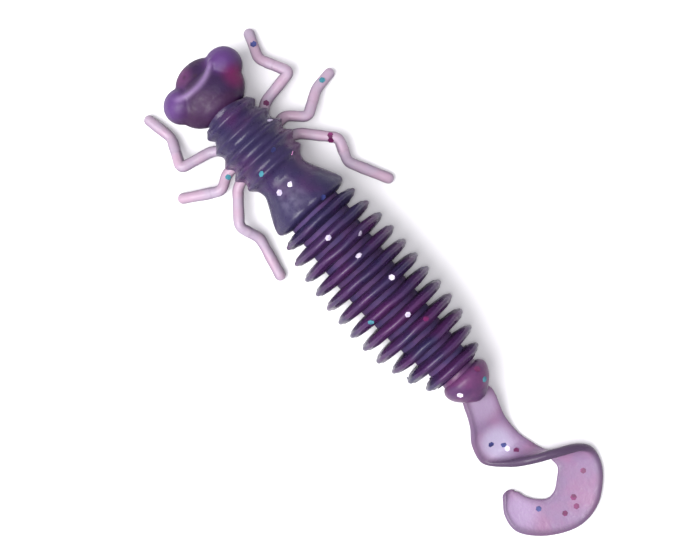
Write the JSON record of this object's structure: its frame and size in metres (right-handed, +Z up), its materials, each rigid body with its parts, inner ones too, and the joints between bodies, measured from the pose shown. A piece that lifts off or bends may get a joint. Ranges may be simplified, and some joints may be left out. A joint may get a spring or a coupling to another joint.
{
  "type": "soft plastic lure",
  "caption": "Soft larva-shaped fishing lure with a ringed body, jointed legs and a curled ribbon tail that flexes along its length.",
  "frame": {"origin": "the tip of the nose on the body axis, where a hook point enters", "axes": "+X from the nose to the tail, +Y to the animal's right, +Z up out of the back"},
  "size_m": [0.0774, 0.0258, 0.0112],
  "materials": {
    "body_plastic": "deep translucent purple soft plastic, oily gloss",
    "eye_plastic": "translucent violet soft plastic, glossy",
    "leg_plastic": "clear pink-lilac soft plastic, glossy",
    "tail_plastic": "translucent lilac soft plastic, glossy",
    "glitter_teal": "metallised film flake",
    "glitter_blue": "metallised film flake",
    "glitter_silver": "metallised film flake",
    "glitter_magenta": "metallised film flake"
  },
  "bodies": {
    "thorax": {"thorax_ring_1": "body_plastic", "thorax_ring_2": "body_plastic", "thorax_ring_3": "body_plastic", "thorax_ring_4": "body_plastic", "waist": "body_plastic", "left_wing_pad": "body_plastic", "right_wing_pad": "body_plastic", "glitter_teal": "glitter_teal", "glitter_blue": "glitter_blue", "glitter_silver": "glitter_silver", "glitter_magenta": "glitter_magenta"},
    "neck": {"neck_ring": "body_plastic"},
    "head": {"head": "body_plastic", "face_lobe": "eye_plastic", "left_eye": "eye_plastic", "right_eye": "eye_plastic"},
    "ring_01": {"ring_01": "body_plastic"},
    "ring_02": {"ring_02": "body_plastic"},
    "ring_03": {"ring_03": "body_plastic"},
    "ring_04": {"ring_04": "body_plastic"},
    "ring_05": {"ring_05": "body_plastic"},
    "ring_06": {"ring_06": "body_plastic"},
    "ring_07": {"ring_07": "body_plastic"},
    "ring_08": {"ring_08": "body_plastic"},
    "ring_09": {"ring_09": "body_plastic"},
    "ring_10": {"ring_10": "body_plastic"},
    "ring_11": {"ring_11": "body_plastic"},
    "ring_12": {"ring_12": "body_plastic"},
    "end_lobe": {"end_lobe": "tail_plastic"},
    "tail_stem": {"tail_stem": "tail_plastic"},
    "tail_bend": {"tail_bend": "tail_plastic"},
    "tail_twist": {"tail_twist": "tail_plastic"},
    "tail_blade": {"tail_blade": "tail_plastic"},
    "tail_tip": {"tail_tip": "tail_plastic"},
    "right_front_leg": {"right_front_femur": "leg_plastic", "right_front_tibia": "leg_plastic"},
    "right_front_foot": {"right_front_tarsus": "leg_plastic"},
    "right_middle_leg": {"right_middle_femur": "leg_plastic", "right_middle_tibia": "leg_plastic"},
    "right_middle_foot": {"right_middle_tarsus": "leg_plastic"},
    "right_rear_leg": {"right_rear_femur": "leg_plastic", "right_rear_tibia": "leg_plastic"},
    "right_rear_foot": {"right_rear_tarsus": "leg_plastic"},
    "left_front_leg": {"left_front_femur": "leg_plastic", "left_front_tibia": "leg_plastic"},
    "left_front_foot": {"left_front_tarsus": "leg_plastic"},
    "left_middle_leg": {"left_middle_femur": "leg_plastic", "left_middle_tibia": "leg_plastic"},
    "left_middle_foot": {"left_middle_tarsus": "leg_plastic"},
    "left_rear_leg": {"left_rear_femur": "leg_plastic", "left_rear_tibia": "leg_plastic"},
    "left_rear_foot": {"left_rear_tarsus": "leg_plastic"}
  },
  "joints": [
    {"name": "head_turn", "type": "hinge", "parent": "thorax", "child": "neck", "pos_m": [0.01013, 0, 0], "axis": [0, 0, 1], "range_deg": [-8, 8], "stiffness_Nm_per_rad": 0.0005},
    {"name": "head_nod", "type": "hinge", "parent": "neck", "child": "head", "pos_m": [0.00808, 0, 0], "axis": [0, 1, 0], "range_deg": [-8, 8], "stiffness_Nm_per_rad": 0.0005},
    {"name": "body_sway_01", "type": "hinge", "parent": "thorax", "child": "ring_01", "pos_m": [0.02487, 0.00001, 0], "axis": [0, 0, 1], "range_deg": [-5.5, 5.5], "stiffness_Nm_per_rad": 0.0005},
    {"name": "body_arch_02", "type": "hinge", "parent": "ring_01", "child": "ring_02", "pos_m": [0.02713, -0.00014, 0], "axis": [0, 1, 0], "range_deg": [-5, 5], "stiffness_Nm_per_rad": 0.0005},
    {"name": "body_sway_03", "type": "hinge", "parent": "ring_02", "child": "ring_03", "pos_m": [0.0294, -0.00028, 0], "axis": [0, 0, 1], "range_deg": [-5.5, 5.5], "stiffness_Nm_per_rad": 0.0005},
    {"name": "body_arch_04", "type": "hinge", "parent": "ring_03", "child": "ring_04", "pos_m": [0.03166, -0.00041, 0], "axis": [0, 1, 0], "range_deg": [-5, 5], "stiffness_Nm_per_rad": 0.0005},
    {"name": "body_sway_05", "type": "hinge", "parent": "ring_04", "child": "ring_05", "pos_m": [0.03392, -0.00052, 0], "axis": [0, 0, 1], "range_deg": [-5.5, 5.5], "stiffness_Nm_per_rad": 0.0005},
    {"name": "body_arch_06", "type": "hinge", "parent": "ring_05", "child": "ring_06", "pos_m": [0.03618, -0.0006, 0], "axis": [0, 1, 0], "range_deg": [-5, 5], "stiffness_Nm_per_rad": 0.0005},
    {"name": "body_sway_07", "type": "hinge", "parent": "ring_06", "child": "ring_07", "pos_m": [0.03845, -0.00065, 0], "axis": [0, 0, 1], "range_deg": [-5.5, 5.5], "stiffness_Nm_per_rad": 0.0005},
    {"name": "body_arch_08", "type": "hinge", "parent": "ring_07", "child": "ring_08", "pos_m": [0.04071, -0.00066, 0], "axis": [0, 1, 0], "range_deg": [-5, 5], "stiffness_Nm_per_rad": 0.0005},
    {"name": "body_sway_09", "type": "hinge", "parent": "ring_08", "child": "ring_09", "pos_m": [0.04297, -0.00064, 0], "axis": [0, 0, 1], "range_deg": [-5.5, 5.5], "stiffness_Nm_per_rad": 0.0005},
    {"name": "body_arch_10", "type": "hinge", "parent": "ring_09", "child": "ring_10", "pos_m": [0.04523, -0.00059, 0], "axis": [0, 1, 0], "range_deg": [-5, 5], "stiffness_Nm_per_rad": 0.0005},
    {"name": "body_sway_11", "type": "hinge", "parent": "ring_10", "child": "ring_11", "pos_m": [0.0475, -0.0005, 0], "axis": [0, 0, 1], "range_deg": [-5.5, 5.5], "stiffness_Nm_per_rad": 0.0005},
    {"name": "body_arch_12", "type": "hinge", "parent": "ring_11", "child": "ring_12", "pos_m": [0.04976, -0.00039, 0], "axis": [0, 1, 0], "range_deg": [-5, 5], "stiffness_Nm_per_rad": 0.0005},
    {"name": "body_sway_13", "type": "hinge", "parent": "ring_12", "child": "end_lobe", "pos_m": [0.05202, -0.00026, 0], "axis": [0, 0, 1], "range_deg": [-5.5, 5.5], "stiffness_Nm_per_rad": 0.0005},
    {"name": "tail_swing", "type": "hinge", "parent": "end_lobe", "child": "tail_stem", "pos_m": [0.0573, -0.00075, -0.0015], "axis": [0, 0, 1], "range_deg": [-35, 35], "stiffness_Nm_per_rad": 0.0005},
    {"name": "tail_lift", "type": "hinge", "parent": "tail_stem", "child": "tail_bend", "pos_m": [0.0605, -0.0048, -0.0032], "axis": [0, 1, 0], "range_deg": [-25, 25], "stiffness_Nm_per_rad": 0.0005},
    {"name": "tail_curl", "type": "hinge", "parent": "tail_bend", "child": "tail_twist", "pos_m": [0.0665, -0.0008, -0.0016], "axis": [0.066, -0.5611, 0.8251], "range_deg": [-15, 30], "stiffness_Nm_per_rad": 0.0005},
    {"name": "tail_flap", "type": "hinge", "parent": "tail_twist", "child": "tail_blade", "pos_m": [0.074, 0.0045, -0.0041], "axis": [-0.5722, -0.8201, 0], "range_deg": [-25, 25], "stiffness_Nm_per_rad": 0.0005},
    {"name": "tail_tip_flap", "type": "hinge", "parent": "tail_blade", "child": "tail_tip", "pos_m": [0.075, -0.0056, -0.0041], "axis": [-0.9167, 0.3996, 0], "range_deg": [-25, 25], "stiffness_Nm_per_rad": 0.0005},
    {"name": "right_front_lift", "type": "hinge", "parent": "thorax", "child": "right_front_leg", "pos_m": [0.0101, 0.0049, -0.0024], "axis": [0.9891, 0.1473, 0], "range_deg": [-10, 30], "stiffness_Nm_per_rad": 0.0005},
    {"name": "right_front_foot_flex", "type": "hinge", "parent": "right_front_leg", "child": "right_front_foot", "pos_m": [0.0054, 0.0078, -0.0032], "axis": [0, 0, -1], "range_deg": [-5, 25], "stiffness_Nm_per_rad": 0.0005},
    {"name": "right_middle_lift", "type": "hinge", "parent": "thorax", "child": "right_middle_leg", "pos_m": [0.0131, 0.0054, -0.0024], "axis": [0.7071, -0.7071, 0], "range_deg": [-10, 35], "stiffness_Nm_per_rad": 0.0005},
    {"name": "right_middle_foot_flex", "type": "hinge", "parent": "right_middle_leg", "child": "right_middle_foot", "pos_m": [0.0132, 0.0107, -0.0032], "axis": [0, 0, 1], "range_deg": [-5, 25], "stiffness_Nm_per_rad": 0.0005},
    {"name": "right_rear_lift", "type": "hinge", "parent": "thorax", "child": "right_rear_leg", "pos_m": [0.0159, 0.0052, -0.0024], "axis": [0.6571, -0.7538, 0], "range_deg": [-10, 35], "stiffness_Nm_per_rad": 0.0005},
    {"name": "right_rear_foot_flex", "type": "hinge", "parent": "right_rear_leg", "child": "right_rear_foot", "pos_m": [0.0228, 0.0074, -0.0032], "axis": [0, 0, 1], "range_deg": [-5, 25], "stiffness_Nm_per_rad": 0.0005},
    {"name": "left_front_lift", "type": "hinge", "parent": "thorax", "child": "left_front_leg", "pos_m": [0.0102, -0.0046, -0.0024], "axis": [-0.974, 0.2265, 0], "range_deg": [-10, 20], "stiffness_Nm_per_rad": 0.0005},
    {"name": "left_front_foot_flex", "type": "hinge", "parent": "left_front_leg", "child": "left_front_foot", "pos_m": [0.0054, -0.0072, -0.0034], "axis": [0, 0, 1], "range_deg": [-5, 25], "stiffness_Nm_per_rad": 0.0005},
    {"name": "left_middle_lift", "type": "hinge", "parent": "thorax", "child": "left_middle_leg", "pos_m": [0.0136, -0.005, -0.0024], "axis": [-0.8455, -0.534, 0], "range_deg": [-10, 35], "stiffness_Nm_per_rad": 0.0005},
    {"name": "left_middle_foot_flex", "type": "hinge", "parent": "left_middle_leg", "child": "left_middle_foot", "pos_m": [0.0135, -0.0091, -0.0032], "axis": [0, 0, 1], "range_deg": [-5, 25], "stiffness_Nm_per_rad": 0.0005},
    {"name": "left_rear_lift", "type": "hinge", "parent": "thorax", "child": "left_rear_leg", "pos_m": [0.0159, -0.0052, -0.0024], "axis": [-0.6441, -0.7649, 0], "range_deg": [-10, 35], "stiffness_Nm_per_rad": 0.0005},
    {"name": "left_rear_foot_flex", "type": "hinge", "parent": "left_rear_leg", "child": "left_rear_foot", "pos_m": [0.0225, -0.0074, -0.0032], "axis": [0, 0, -1], "range_deg": [-5, 25], "stiffness_Nm_per_rad": 0.0005}
  ]
}
